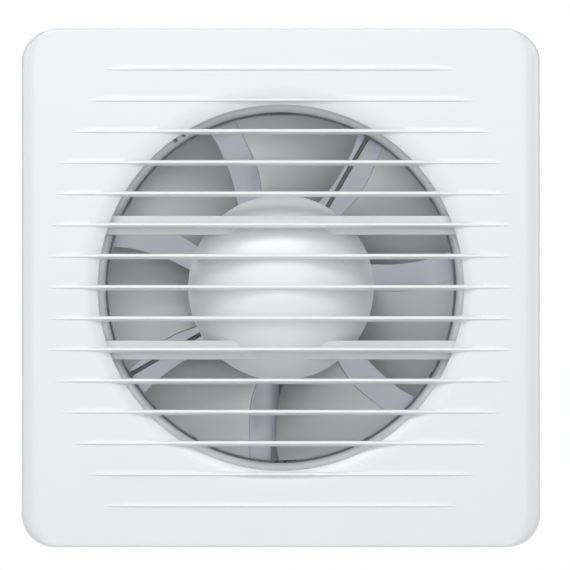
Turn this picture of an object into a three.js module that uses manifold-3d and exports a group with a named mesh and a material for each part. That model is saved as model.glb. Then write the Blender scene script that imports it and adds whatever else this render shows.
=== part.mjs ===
// Bathroom extractor fan for a 125 mm duct, in millimetres.
// +Z is up, the front faces -Y, and the fan's axis is the Y axis.
// The origin is on the fan's axis, in the plane of the wall that the mounting plate rests on.
import * as THREE from "three";
import { mergeVertices } from "three/addons/utils/BufferGeometryUtils.js";
import Module from "manifold-3d";

const wasm = await Module();
wasm.setup();

// ---------------------------------------------------------------- driving dimensions
const PANEL = 176; // front cover, across its sides
const PANEL_CORNER = 11.2; // corner radius seen from the front
const FACE_Y = -16; // flat front face of the cover
const SKIN = 2.2; // wall of the cover
const ROLL_W = 6.3, ROLL_D = 5; // rolled left and right edges: width and depth
const EDGE_R = 1; // top and bottom edges
const MOUTH_R = 68.6; // where the bell-mouth leaves the flat face
const THROAT_R = 62.1; // inside of the cover's collar
const MOUTH = [[MOUTH_R, FACE_Y], [67.5, -15.75], [66.4, -15.1], [62.8, -12.3], [62.25, -11.7], [THROAT_R, -11]]; // rounded edge, cone, rounded edge
const COLLAR_WALL = 2.2;
const COLLAR_END_Y = -5;
const SLATS = 15, SLAT_PITCH = 10.58, SLAT_T = 1.9;
const SLAT_HALF = [79.7, 79.35, 78.5, 77.1, 74.9, 71.4, 66.1, 59.5]; // half lengths from the middle slat out
const SLAT_CREST = 3, SLAT_PANEL_CREST = 1; // how far the slats stand in front of the face, in the middle and over the panel
const SLAT_REAR_Y = -12.5;
const BAR_H = 6.5, BAR_Z = 2 * SLAT_PITCH, BAR_Y0 = -10, BAR_Y1 = -7;
const DOME_R = 31.5, DOME_SPHERE = 45, DOME_APEX_Y = -17, DOME_SKIN = 1.8, DOME_END_Y = -2;
const PLATE = 168, PLATE_T = 2.5, PLATE_CORNER = 9;
const SPIGOT_R = 62, BORE_R = 59.6, SPIGOT_END_Y = 95;
const CASING_FRONT_Y = -4.7, CASING_RIM_R = 66;
const GROOVE_W = 6.4, GROOVE_FLOOR = 60.4, GROOVE_END_Y = 36; // lead groove along the bottom of the spigot
const FIX_X = 42, FIX_Z = 76, FIX_R = 2.25; // fixing holes: 84 x 152 mm apart
const ENTRY = [71, -70], ENTRY_R = 7.2; // cable entry
const CLAMP_X = [65.1, 77]; // cable clamp screws
const TERMINAL_X = [67.5, 74.5], TERMINAL_Z = -44;
const BLADES = 7, TIP_R = 58.7, HUB_R = 29.5;
const HUB_Y0 = 1, HUB_Y1 = 18, HUB_SKIN = 1.6;
const BLADE_T = 1.7;
const BLADE_STATIONS = [
  // radius, leading edge angle, trailing edge angle (degrees), leading edge depth, trailing edge depth
  [28.6, 153.8, 119.2, 3.2, 17.2],
  [39.5, 152.4, 114.6, 3.0, 18.2],
  [52.5, 155.4, 113.9, 3.6, 17.6],
  [TIP_R, 157.0, 115.0, 4.2, 17.0],
];
const RIBS = 12, RIB_T = 1.5, RIB_Y0 = 27, RIB_Y1 = 43;
const FOOT_W = 3.6, TOP_FOOT_W = 7; // feet of the ribs, against the duct
const CUP_R = 31.2, CUP_SKIN = 1.3, CUP_Y0 = 23, CUP_Y1 = 54.5, CUP_FLOOR = 2;
const STACK_Y0 = 24, STACK_Y1 = 38;
const ROTOR_R = 9, AIR_GAP = 0.35;
const SHAFT_R = 2.5, SHAFT_Y0 = -4, SHAFT_Y1 = 49.5;
const SCREW_X = 14.2, SCREW_R = 1.45;
const LEAD_R = 0.6;
const HINGE_Y = 86, LEAF_R = 59.1, LEAF_Y0 = 81.6, LEAF_Y1 = 82.8, SPINDLE_R = 1.5;
const SEAT_R = 59, SEAT_Y0 = 79.8, SEAT_Y1 = 81.3; // lip in the duct that the closed leaves rest against

// ---------------------------------------------------------------- helpers
// A closed geometry as a solid, turned outwards where its faces point in.
function solid(geometry) {
  let g = geometry.index ? geometry.toNonIndexed() : geometry.clone();
  g = new THREE.BufferGeometry().setAttribute("position", g.getAttribute("position"));
  g = mergeVertices(g, 1e-4);
  const from = g.index.array, tris = [];
  for (let i = 0; i < from.length; i += 3) {
    const [a, b, c] = [from[i], from[i + 1], from[i + 2]];
    if (a !== b && b !== c && a !== c) tris.push(a, b, c);
  }
  const make = (t) =>
    new wasm.Manifold(
      new wasm.Mesh({ numProp: 3, vertProperties: new Float32Array(g.attributes.position.array), triVerts: new Uint32Array(t) }),
    );
  const made = make(tris);
  if (made.volume() >= 0) return made;
  for (let i = 0; i < tris.length; i += 3) [tris[i + 1], tris[i + 2]] = [tris[i + 2], tris[i + 1]];
  return make(tris);
}
const box = (x0, x1, y0, y1, z0, z1) =>
  solid(new THREE.BoxGeometry(x1 - x0, y1 - y0, z1 - z0).translate((x0 + x1) / 2, (y0 + y1) / 2, (z0 + z1) / 2));
const rod = (r, y0, y1, x = 0, z = 0, n = 20) =>
  solid(new THREE.CylinderGeometry(r, r, y1 - y0, n).translate(x, (y0 + y1) / 2, z));
const rodZ = (r, z0, z1, x = 0, y = 0, n = 16) =>
  solid(new THREE.CylinderGeometry(r, r, z1 - z0, n).rotateX(Math.PI / 2).translate(x, y, (z0 + z1) / 2));
const rodX = (r, x0, x1, y = 0, z = 0, n = 24) =>
  solid(new THREE.CylinderGeometry(r, r, x1 - x0, n).rotateZ(Math.PI / 2).translate((x0 + x1) / 2, y, z));
// A profile of [radius, y] turned round the Y axis.
const turned = (profile, n = 48, x = 0, z = 0) =>
  solid(new THREE.LatheGeometry(profile.map(([r, y]) => new THREE.Vector2(r, y)), n).translate(x, 0, z));
const ring = (r0, r1, y0, y1, n = 20, x = 0, z = 0) =>
  turned([[r0, y0], [r1, y0], [r1, y1], [r0, y1], [r0, y0]], n, x, z);
const outline = (points) => new THREE.Shape(points.map(([u, v]) => new THREE.Vector2(u, v)));
// An outline in x and z, extruded along Y.
const prismY = (points, y0, y1) =>
  solid(new THREE.ExtrudeGeometry(outline(points), { depth: y1 - y0, bevelEnabled: false }).rotateX(Math.PI / 2).translate(0, y1, 0));
// An outline in x and y, extruded along Z.
const prismZ = (points, z0, z1) =>
  solid(new THREE.ExtrudeGeometry(outline(points), { depth: z1 - z0, bevelEnabled: false }).translate(0, 0, z0));
const join = (...parts) => parts.reduce((a, b) => a.add(b));
const cut = (a, ...parts) => parts.reduce((m, b) => m.subtract(b), a);

// A rounded rectangle: half sizes and elliptical corner radii.
function contour(hx, hz, rx, rz, n = 7) {
  const out = [];
  for (const [sx, sz, a0] of [[1, 1, 0], [-1, 1, 90], [-1, -1, 180], [1, -1, 270]])
    for (let i = 0; i <= n; i++) {
      const a = THREE.MathUtils.degToRad(a0 + (90 * i) / n);
      out.push([sx * (hx - rx) + rx * Math.cos(a), sz * (hz - rz) + rz * Math.sin(a)]);
    }
  return out;
}
// A solid through a stack of outlines with equal numbers of points, each [y, points].
function stacked(layers) {
  const n = layers[0][1].length, pos = [], idx = [];
  for (const [y, pts] of layers) for (const [x, z] of pts) pos.push(x, y, z);
  for (let k = 0; k + 1 < layers.length; k++)
    for (let i = 0; i < n; i++) {
      const a = k * n + i, b = k * n + ((i + 1) % n);
      idx.push(a, b, b + n, a, b + n, a + n);
    }
  for (const [k, flip] of [[0, true], [layers.length - 1, false]]) {
    const c = pos.length / 3, [y] = layers[k];
    pos.push(0, y, 0);
    for (let i = 0; i < n; i++) {
      const a = k * n + i, b = k * n + ((i + 1) % n);
      idx.push(c, ...(flip ? [b, a] : [a, b]));
    }
  }
  const g = new THREE.BufferGeometry();
  g.setAttribute("position", new THREE.Float32BufferAttribute(pos, 3));
  g.setIndex(idx);
  return solid(g);
}
const rounded = (w, h, r, y0, y1, n = 6) => prismY(contour(w / 2, h / 2, r, r, n), y0, y1);

// The square cushion shape of the cover, inset from its outside.
function cushion(half, corner, faceY, rollW, rollD, edge, endY, n) {
  const inset = (y, w, d) => {
    const t = Math.min(1, (y - faceY) / d);
    return t >= 1 ? 0 : w * (1 - Math.sqrt(Math.max(0, 1 - (1 - t) ** 2)));
  };
  const steps = [0, 0.04, 0.16, 0.38, 0.68, 1].map((s) => faceY + rollD * s);
  steps.splice(2, 0, faceY + edge);
  const ys = [...new Set([...steps, endY])].sort((a, b) => a - b);
  return stacked(
    ys.map((y) => {
      const ix = inset(y, rollW, rollD), iz = inset(y, edge, edge);
      return [y, contour(half - ix, half - iz, Math.max(2, corner - ix), Math.max(2, corner - iz), n)];
    }),
  );
}

const parts = new THREE.Group();
const FINISH = {
  white: { color: 0xeaeff2, roughness: 0.28, metalness: 0 },
  grey: { color: 0x9da2a9, roughness: 0.45, metalness: 0 },
  bladeGrey: { color: 0x8f9596, roughness: 0.4, metalness: 0 },
  dark: { color: 0x6e7476, roughness: 0.5, metalness: 0 },
  steel: { color: 0xb9bcc0, roughness: 0.3, metalness: 1 },
  lamination: { color: 0x5f6266, roughness: 0.5, metalness: 0.8 },
  zinc: { color: 0xc8cacc, roughness: 0.35, metalness: 1 },
  bronze: { color: 0xa9793f, roughness: 0.45, metalness: 1 },
  copper: { color: 0xb8683a, roughness: 0.35, metalness: 1 },
  enamel: { color: 0x9c4a22, roughness: 0.3, metalness: 0.4 },
  nylon: { color: 0xe6e2d6, roughness: 0.5, metalness: 0 },
  rubber: { color: 0x2b2c2e, roughness: 0.8, metalness: 0 },
  brown: { color: 0x6b4226, roughness: 0.5, metalness: 0 },
  blue: { color: 0x2f5f9e, roughness: 0.5, metalness: 0 },
};
function piece(name, s, finish, group = parts) {
  const m = s.getMesh(), v = new Float32Array(m.numVert * 3);
  for (let i = 0; i < m.numVert; i++) v.set(m.vertProperties.subarray(i * m.numProp, i * m.numProp + 3), i * 3);
  const g = new THREE.BufferGeometry();
  g.setAttribute("position", new THREE.BufferAttribute(v, 3));
  g.setIndex(new THREE.BufferAttribute(new Uint32Array(m.triVerts), 1));
  g.computeVertexNormals();
  const mesh = new THREE.Mesh(g, new THREE.MeshStandardMaterial(FINISH[finish]));
  mesh.name = name;
  group.add(mesh);
  return mesh;
}

// ---------------------------------------------------------------- front grille
// Panel shell, open at the back.
let grille = cut(
  cushion(PANEL / 2, PANEL_CORNER, FACE_Y, ROLL_W, ROLL_D, EDGE_R, 0, 5),
  cushion(PANEL / 2 - 2, PANEL_CORNER - 2, FACE_Y + SKIN, ROLL_W - 0.8, ROLL_D - 1.2, 0.6, 1, 3),
);
// Bell-mouth and collar.
const mouth = [[0, FACE_Y - 2], [MOUTH_R, FACE_Y - 2], ...MOUTH, [THROAT_R, 3], [0, 3]];
grille = join(
  grille,
  turned([
    [61, COLLAR_END_Y], [THROAT_R + COLLAR_WALL, COLLAR_END_Y], [THROAT_R + COLLAR_WALL, -11.5],
    [66.4, -13.2], [70, -14], [70, -15], [61, -15], [61, COLLAR_END_Y],
  ]),
);
grille = cut(grille, turned(mouth));
// Slats: the crests stand 3 mm proud at the middle of the opening and about 1 mm over the panel, and dip into the face at their ends.
const pillow = (x, z, half) => {
  const r = Math.hypot(x, z) / 66, e = Math.min(1, Math.max(0, (half - Math.abs(x)) / 24));
  return SLAT_PANEL_CREST * Math.sqrt(e) + (SLAT_CREST - SLAT_PANEL_CREST) * Math.max(0, 1 - r * r);
};
for (let k = -7; k <= 7; k++) {
  const z = k * SLAT_PITCH, L = SLAT_HALF[Math.abs(k)], pts = [], n = 6;
  const open = Math.sqrt(63.6 ** 2 - Math.min(63.5, Math.abs(z)) ** 2);
  for (let i = 0; i <= n; i++) {
    const x = -L * Math.cos((Math.PI * i) / n);
    pts.push([x, FACE_Y + 0.3 - pillow(x, z, L) - (i === 0 || i === n ? 0 : 0.3)]);
  }
  const rear = Math.abs(k) === 2 ? BAR_Y0 + 0.2 : SLAT_REAR_Y;
  pts.push([L, FACE_Y + 1.4]);
  if (Math.abs(z) < 63) pts.push([open, FACE_Y + 1.4], [open, rear], [-open, rear], [-open, FACE_Y + 1.4]);
  pts.push([-L, FACE_Y + 1.4]);
  grille = grille.add(prismZ(pts, z - SLAT_T / 2, z + SLAT_T / 2));
}
// Two cross bars and the nose dome, with the slats' roots running down to it.
for (const s of [-1, 1])
  grille = grille.add(
    box(-63, 63, BAR_Y0, BAR_Y1, s * BAR_Z - BAR_H / 2, s * BAR_Z + BAR_H / 2).intersect(rod(THROAT_R + 1.1, -14, -4, 0, 0, 48)),
  );
const cap = (sphere, r, apex, n) =>
  Array.from({ length: n + 1 }, (_, i) => {
    const q = (r * i) / n;
    return [q, apex + sphere - Math.sqrt(sphere ** 2 - q ** 2)];
  });
grille = grille.add(turned([...cap(DOME_SPHERE, DOME_R, DOME_APEX_Y, 6), [DOME_R, DOME_END_Y], [0, DOME_END_Y]], 40));
for (let k = -2; k <= 2; k++) {
  const z = k * SLAT_PITCH, w = Math.sqrt(30.4 ** 2 - z * z);
  grille = grille.add(box(-w, w, SLAT_REAR_Y - 1, -3.6, z - 0.75, z + 0.75));
}
grille = grille.subtract(
  turned([...cap(DOME_SPHERE - DOME_SKIN, DOME_R - DOME_SKIN, DOME_APEX_Y + DOME_SKIN, 4), [DOME_R - DOME_SKIN, 0], [0, 0]], 40),
);
// Four snap hooks behind the panel.
for (const sx of [-1, 1])
  for (const sz of [-1, 1]) {
    const x = sx * 76, z = sz * 22;
    grille = join(
      grille,
      box(x - 0.9, x + 0.9, FACE_Y + SKIN - 0.5, -0.6, z - 4, z + 4),
      prismZ([[x, -0.6], [x, -2.1], [x + sx * 1.9, -2.1], [x + sx * 0.9, -0.6]], z - 4, z + 4),
    );
  }
piece("front_grille", grille, "white");

// ---------------------------------------------------------------- casing: mounting plate and duct
let casing = join(
  rounded(PLATE, PLATE, PLATE_CORNER, -PLATE_T, 0),
  rod(CASING_RIM_R, CASING_FRONT_Y, 0, 0, 0, 48),
  rod(SPIGOT_R, -1, SPIGOT_END_Y, 0, 0, 48),
);
casing = cut(
  casing,
  turned([
    [0, -6], [61.1, -6], [61.1, CASING_FRONT_Y], [60.45, -4.5], [59.95, -4.1], [BORE_R, -3.4],
    [BORE_R, SEAT_Y0], [SEAT_R, SEAT_Y0], [SEAT_R, SEAT_Y1], [BORE_R, SEAT_Y1], [BORE_R, 97], [0, 97],
  ]),
);
for (const s of [-1, 1]) {
  for (const x of [-FIX_X, FIX_X]) casing = casing.subtract(rod(FIX_R, -4, 1, x, s * FIX_Z, 16));
  for (const z of [-22, 22]) casing = casing.subtract(box(s * 76.3 - 2.4, s * 76.3 + 2.4, -4, 1, z - 4.8, z + 4.8));
}
casing = cut(
  casing,
  box(-GROOVE_W / 2, GROOVE_W / 2, -0.5, GROOVE_END_Y, -63, -GROOVE_FLOOR), // groove outside the spigot, for the leads
  box(-2.6, 2.6, 30, GROOVE_END_Y, -63, -58), // their way out through the wall
  box(-GROOVE_W / 2, GROOVE_W / 2, -2.2, 1, -70.5, -GROOVE_FLOOR), // slot in the back of the plate
  box(-GROOVE_W / 2, GROOVE_W / 2, -4, 1, -70.5, -66.8), // and through it
  rod(ENTRY_R, -4, 1, ENTRY[0], ENTRY[1], 32),
);
// Two small latch slots in the lead-in ring.
for (const deg of [122.6, 125.6]) {
  const a = THREE.MathUtils.degToRad(deg), r = 61.4;
  casing = casing.subtract(
    solid(new THREE.BoxGeometry(1.2, 3, 1.2).rotateY(-a).translate(r * Math.cos(a), -3.6, r * Math.sin(a))),
  );
}
for (const s of [-1, 1]) {
  // Shutter spindle bosses.
  const [z0, z1] = s > 0 ? [53.5, 60] : [-60, -53.5];
  casing = cut(casing.add(rodZ(2.9, z0, z1, 0, HINGE_Y)), rodZ(SPINDLE_R + 0.15, s > 0 ? 53 : -57.2, s > 0 ? 57.2 : -53, 0, HINGE_Y));
}
// Bosses for the cable clamp.
for (const x of CLAMP_X) casing = cut(casing.add(rod(2.6, -5, -1, x, -58, 20)), rod(1.35, -6, -0.8, x, -58, 16));
piece("duct_casing", casing, "grey");

// ---------------------------------------------------------------- motor carrier
let carrier = cut(rod(CUP_R, CUP_Y0, CUP_Y1, 0, 0, 48), rod(CUP_R - CUP_SKIN, CUP_Y0 - 1, CUP_Y1 - CUP_FLOOR, 0, 0, 48));
for (let i = 0; i < RIBS; i++) {
  const a = (2 * Math.PI * i) / RIBS, down = i === 9;
  const end = down ? 53.2 : 59.1;
  const rib = join(
    solid(new THREE.BoxGeometry(end - 30.6, RIB_Y1 - RIB_Y0, RIB_T).translate((end + 30.6) / 2, (RIB_Y0 + RIB_Y1) / 2, 0)),
    ...(down ? [] : [solid(new THREE.BoxGeometry(1.1, RIB_Y1 - RIB_Y0, i === 3 ? TOP_FOOT_W : FOOT_W).translate(58.55, (RIB_Y0 + RIB_Y1) / 2, 0))]),
  );
  carrier = carrier.add(rib.rotate([0, (-a * 180) / Math.PI, 0]));
}
for (const x of [-SCREW_X, SCREW_X]) carrier = carrier.subtract(rod(3.1, 50, 56, x, 0, 20));
carrier = carrier.subtract(box(-1.3, 1.3, 44, 48.2, -33, -28)); // lead outlet
for (let k = -2; k <= 2; k++) // cooling slots in the cup's floor
  if (k !== 0) carrier = carrier.subtract(box(-7, 7, 50, 56, k * 5 - 1.1 + Math.sign(k) * 4, k * 5 + 1.1 + Math.sign(k) * 4));
piece("motor_carrier", carrier, "dark");

// Cover that keeps the leads clear of the blades.
piece(
  "lead_cover",
  cut(box(-3.5, 3.5, 26.5, 49.5, -59.2, -53.5), box(-2.3, 2.3, 28.5, 50, -60, -55.3), box(-1.9, 1.9, 42.4, 50, -56, -53)),
  "dark",
);

// ---------------------------------------------------------------- rotating group
const rotating = new THREE.Group();
parts.add(rotating);
// Hub: a cup with a centre boss.
let impeller = cut(
  turned([
    [0, HUB_Y0], [HUB_R - 4, HUB_Y0], [HUB_R - 1.2, HUB_Y0 + 0.9], [HUB_R, HUB_Y0 + 3], [HUB_R, HUB_Y1],
    [HUB_R - HUB_SKIN, HUB_Y1], [HUB_R - HUB_SKIN, HUB_Y0 + 3], [HUB_R - 4, HUB_Y0 + 2], [6, HUB_Y0 + 2], [5.4, 9], [0, 9],
  ], 42),
  rod(SHAFT_R + 0.08, HUB_Y0 - 2, 12),
);
// One blade: a cambered sheet through its stations, flatter at the leading edge and steeper at the trailing edge.
function bladeSolid(turn) {
  const nt = 4, nr = BLADE_STATIONS.length, pos = [], idx = [];
  const at = (i, j, side) => (i * (nt + 1) + j) * 2 + side;
  BLADE_STATIONS.forEach(([r, lead, trail, y0, y1]) => {
    for (let j = 0; j <= nt; j++) {
      const t = j / nt, a = THREE.MathUtils.degToRad(lead + (trail - lead) * t + turn);
      const y = y0 + (y1 - y0) * (0.6 * t + 0.4 * t * t);
      const slope = ((y1 - y0) * (0.6 + 0.8 * t)) / (r * THREE.MathUtils.degToRad(Math.abs(trail - lead)));
      const half = (BLADE_T / 2) * (j === 0 || j === nt ? 0.45 : 1), c = 1 / Math.hypot(1, slope), s = slope * c;
      for (const side of [-1, 1]) {
        const q = a + (side * half * s) / r, yy = y + side * half * c;
        pos.push(r * Math.cos(q), yy, r * Math.sin(q));
      }
    }
  });
  const quad = (a, b, c, d) => idx.push(a, b, c, a, c, d);
  for (let i = 0; i + 1 < nr; i++)
    for (let j = 0; j < nt; j++) {
      quad(at(i, j, 0), at(i + 1, j, 0), at(i + 1, j + 1, 0), at(i, j + 1, 0));
      quad(at(i, j, 1), at(i, j + 1, 1), at(i + 1, j + 1, 1), at(i + 1, j, 1));
    }
  for (let j = 0; j < nt; j++) {
    quad(at(0, j, 0), at(0, j + 1, 0), at(0, j + 1, 1), at(0, j, 1));
    quad(at(nr - 1, j, 0), at(nr - 1, j, 1), at(nr - 1, j + 1, 1), at(nr - 1, j + 1, 0));
  }
  for (let i = 0; i + 1 < nr; i++) {
    quad(at(i, 0, 0), at(i, 0, 1), at(i + 1, 0, 1), at(i + 1, 0, 0));
    quad(at(i, nt, 0), at(i + 1, nt, 0), at(i + 1, nt, 1), at(i, nt, 1));
  }
  const g = new THREE.BufferGeometry();
  g.setAttribute("position", new THREE.Float32BufferAttribute(pos, 3));
  g.setIndex(idx);
  return solid(g);
}
for (let i = 0; i < BLADES; i++) impeller = impeller.add(bladeSolid((360 * i) / BLADES));
piece("impeller", impeller, "bladeGrey", rotating);
piece("shaft", rod(SHAFT_R, SHAFT_Y0, SHAFT_Y1), "steel", rotating);
piece("impeller_clip", ring(SHAFT_R + 0.05, 5.6, -0.4, 0.7), "steel", rotating);
piece(
  "rotor",
  turned([
    [SHAFT_R + 0.08, 22.4], [8, 22.4], [8.4, 24.2], [ROTOR_R, 24.2], [ROTOR_R, 37.8], [8.4, 37.8], [8, 39.6], [SHAFT_R + 0.08, 39.6], [SHAFT_R + 0.08, 22.4],
  ], 20),
  "lamination", rotating,
);
piece("thrust_washer", ring(SHAFT_R + 0.05, 4.2, 21, 22.1), "nylon", rotating);

// ---------------------------------------------------------------- stator
let core = cut(
  join(
    box(-18, 18, STACK_Y0, STACK_Y1, -11.3, 13),
    box(-18, -12, STACK_Y0, STACK_Y1, -23, -11),
    box(12, 18, STACK_Y0, STACK_Y1, -23, -11),
    box(-18, 18, STACK_Y0, STACK_Y1, -23, -17),
  ),
  rod(ROTOR_R + AIR_GAP, 20, 42, 0, 0, 32),
);
for (const s of [-1, 1]) {
  core = core.subtract(rod(SCREW_R + 0.25, 20, 42, s * SCREW_X, 0, 16));
  for (const z of [4.4, 9.6]) core = core.subtract(box(Math.min(s * 10.1, s * 12.1), Math.max(s * 10.1, s * 12.1), 20, 42, Math.min(-s * z - 1, -s * z + 1), Math.max(-s * z - 1, -s * z + 1)));
}
piece("stator_core", core, "lamination");
for (const s of [-1, 1]) {
  const [x0, x1] = s > 0 ? [10.4, 11.8] : [-11.8, -10.4], m = (-s * (4.4 + 9.6)) / 2, h = 2.6;
  piece(
    s > 0 ? "shading_ring_right" : "shading_ring_left",
    cut(box(x0, x1, 22.4, 39.6, m - h - 0.7, m + h + 0.7), box(x0 - 1, x1 + 1, 23.7, 38.3, m - h + 0.7, m + h - 0.7)),
    "copper",
  );
}
// Coil on the lower limb.
piece(
  "coil_bobbin",
  cut(
    join(
      box(-11.4, 11.4, 22.7, 39.3, -24.3, -15.7),
      box(-11.4, -10.4, 19.1, 42.9, -27.2, -12.1),
      box(10.4, 11.4, 19.1, 42.9, -27.2, -12.1),
    ),
    box(-12, 12, 23.7, 38.3, -23.3, -16.7),
  ),
  "nylon",
);
piece(
  "coil_winding",
  cut(
    prismX(contour(11.2, 7.1, 2.6, 2.6, 4).map(([u, v]) => [u + 31, v - 19.7]), -10.1, 10.1),
    box(-11, 11, 22.4, 39.6, -24.6, -15.4),
  ),
  "enamel",
);
function prismX(points, x0, x1) {
  const g = new THREE.ExtrudeGeometry(outline(points), { depth: x1 - x0, bevelEnabled: false });
  g.applyMatrix4(new THREE.Matrix4().makeBasis(new THREE.Vector3(0, 1, 0), new THREE.Vector3(0, 0, 1), new THREE.Vector3(1, 0, 0)));
  return solid(g.translate(x0, 0, 0));
}
piece("thermal_fuse", rodX(1.2, -8, 1, 43.9, -15.5, 16), "nylon");

// ---------------------------------------------------------------- brackets and bearings
function bracket(rear) {
  const f = (y) => (rear ? 62 - y : y); // the rear one is the front one mirrored about the stack's middle
  const arch = [
    [-18, 23.7], [-18, 19.4], [-8, 10.6], [8, 10.6], [18, 19.4], [18, 23.7], [12.6, 23.7], [9.9, 20.6], [-9.9, 20.6], [-12.6, 23.7],
  ].map(([x, y]) => [x, f(y)]);
  const span = (a, b) => [Math.min(f(a), f(b)), Math.max(f(a), f(b))];
  let s = prismZ(arch, -3.3, 3.3).add(rod(7.2, ...span(10.6, 20.6), 0, 0, 24));
  if (rear) for (const x of [-SCREW_X, SCREW_X]) s = s.add(rod(3, ...span(10.9, 20.6), x, 0, 16));
  s = cut(
    s,
    rod(4.6, ...span(12.4, 21)),
    rod(SHAFT_R + 0.5, ...span(rear ? 12 : 9, 14)),
    ...[-SCREW_X, SCREW_X].map((x) => rod(SCREW_R + 0.25, 8, 54, x, 0, 16)),
  );
  if (!rear) for (const x of [-SCREW_X, SCREW_X]) s = s.subtract(rod(3.1, 8, 19.8, x, 0, 16)); // head seats
  return s;
}
piece("bracket_front", bracket(false), "zinc");
piece("bracket_rear", bracket(true), "zinc");
const bush = (y0, y1) =>
  turned([
    [SHAFT_R + 0.06, y0], [3.9, y0], [4.5, y0 + 1], [4.5, y1 - 1], [3.9, y1], [SHAFT_R + 0.06, y1], [SHAFT_R + 0.06, y0],
  ], 20);
piece("bearing_front", bush(12.6, 18.6), "bronze");
piece("bearing_rear", bush(43.4, 49.4), "bronze");
piece("bearing_retainer_front", ring(2.9, 4.4, 18.9, 19.7), "steel");
piece("bearing_retainer_rear", ring(2.9, 4.4, 42.3, 43.1), "steel");

// ---------------------------------------------------------------- motor fixings
for (const [x, side] of [[-SCREW_X, "left"], [SCREW_X, "right"]]) {
  piece(
    "motor_screw_" + side,
    cut(join(rod(2.8, 17.4, 19.5, x, 0, 16), rod(SCREW_R, 19, 58.4, x, 0, 16)), box(x - 0.35, x + 0.35, 17, 18.3, -2, 2), box(x - 2, x + 2, 17, 18.3, -0.35, 0.35)),
    "steel",
  );
  piece(
    "motor_nut_" + side,
    cut(rod(3.1, 56.1, 58, x, 0, 6), rod(SCREW_R + 0.07, 55, 60, x, 0, 16)),
    "steel",
  );
  piece(
    "mount_grommet_" + side,
    turned([
      [1.75, 51.4], [4.4, 51.4], [4.4, 52.2], [2.9, 52.2], [2.9, 54.8], [4.4, 54.8], [4.4, 55.8], [1.75, 55.8], [1.75, 51.4],
    ], 16, x, 0),
    "rubber",
  );
}

// ---------------------------------------------------------------- wiring
piece(
  "terminal_block",
  cut(
    box(64, 78, -10.5, -2.8, -51, -37),
    ...TERMINAL_X.flatMap((x) => [rod(1.8, -11, -7.3, x, TERMINAL_Z, 16), rodZ(1.25, -52, -36, x, -5.9, 12)]),
    box(70.5, 71.5, -11, -8, -52, -36),
  ),
  "nylon",
);
TERMINAL_X.forEach((x, i) =>
  piece(
    i ? "terminal_screw_live" : "terminal_screw_neutral",
    cut(rod(1.55, -10.2, -7.6, x, TERMINAL_Z, 16), box(x - 2, x + 2, -11, -9.6, TERMINAL_Z - 0.3, TERMINAL_Z + 0.3)),
    "steel",
  ),
);
piece(
  "terminal_cover",
  cut(
    box(61, 81, -12.7, -3, -62.6, -35),
    box(62.1, 79.9, -11.7, -2, -61.5, -36.1),
    box(65.5, 76.5, -8, -2, -37, -34), // way in for the leads
    box(66.5, 75.5, -9, -2, -63, -61), // way in for the mains cable
  ),
  "white",
);
piece(
  "cable_clamp",
  cut(
    prismZ([[62.7, -5.3], [68, -5.3], [68.9, -7.2], [73.2, -7.2], [74.1, -5.3], [79.3, -5.3], [79.3, -7.1], [74.8, -7.1], [74.1, -8.9], [68, -8.9], [67.3, -7.1], [62.7, -7.1]], -60.4, -55.6),
    ...CLAMP_X.map((x) => rod(1.45, -8, -5, x, -58, 16)),
  ),
  "nylon",
);
for (const [x, side] of [[CLAMP_X[0], "left"], [CLAMP_X[1], "right"]])
  piece(
    "clamp_screw_" + side,
    cut(join(rod(1.9, -9, -7.4, x, -58, 16), rod(1.2, -8, -1.2, x, -58, 16)), box(x - 1.6, x + 1.6, -10, -8.4, -58.3, -57.7)),
    "steel",
  );
piece(
  "cable_grommet",
  turned([
    [3.4, -3.8], [8.6, -3.8], [8.6, -2.8], [6.9, -2.8], [6.9, -0.2], [5.6, -0.2], [5.2, -2], [3.4, -2.6], [3.4, -3.8],
  ], 20, ENTRY[0], ENTRY[1]),
  "rubber",
);
// Motor leads, from the coil along the lower rib, out through the duct's wall, forward in its groove and round to the terminals.
function lead(points, steps) {
  const path = new THREE.CatmullRomCurve3(points.map(([x, y, z]) => new THREE.Vector3(x, y, z)), false, "centripetal");
  const section = new THREE.Shape();
  for (let i = 0; i < 8; i++) {
    const a = (Math.PI * 2 * i) / 8, p = [LEAD_R * Math.cos(a), LEAD_R * Math.sin(a)];
    i ? section.lineTo(...p) : section.moveTo(...p);
  }
  return solid(new THREE.ExtrudeGeometry(section, { steps, extrudePath: path, bevelEnabled: false }));
}
const polar = (r, deg, y) => [r * Math.cos((deg * Math.PI) / 180), y, r * Math.sin((deg * Math.PI) / 180)];
piece(
  "lead_live",
  lead([
    [3, 43.8, -19.6], [1.6, 45, -24], [0.2, 45.2, -28], [0, 45.2, -34], [0, 45.2, -50], [0.5, 44.6, -54.6], [1.3, 41.5, -56.9],
    [1.5, 36.6, -57.6], [1.5, 34, -58.9], [1.5, 32.2, -60.6], [1.5, 29, -61.3], [1.5, 12, -61.3], [1.5, 2, -61.3], [1.5, -0.2, -61.9], [1.5, -1.2, -63.6],
    [1.5, -1.2, -66.6], [1.55, -1.9, -68], [1.9, -3.2, -68.4], [3.9, -3.7, -68.2], polar(67.8, -82, -3.6), polar(67.7, -65, -3.5), polar(67.7, -50, -3.5), polar(67.6, -36, -3.5),
    [58.2, -3.6, -33.6], [62.4, -3.8, -29.2], [69.6, -4, -28], [73.8, -5, -31.2], [TERMINAL_X[1], -5.9, -36], [TERMINAL_X[1], -5.9, -40],
  ], 56),
  "brown",
);
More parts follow.
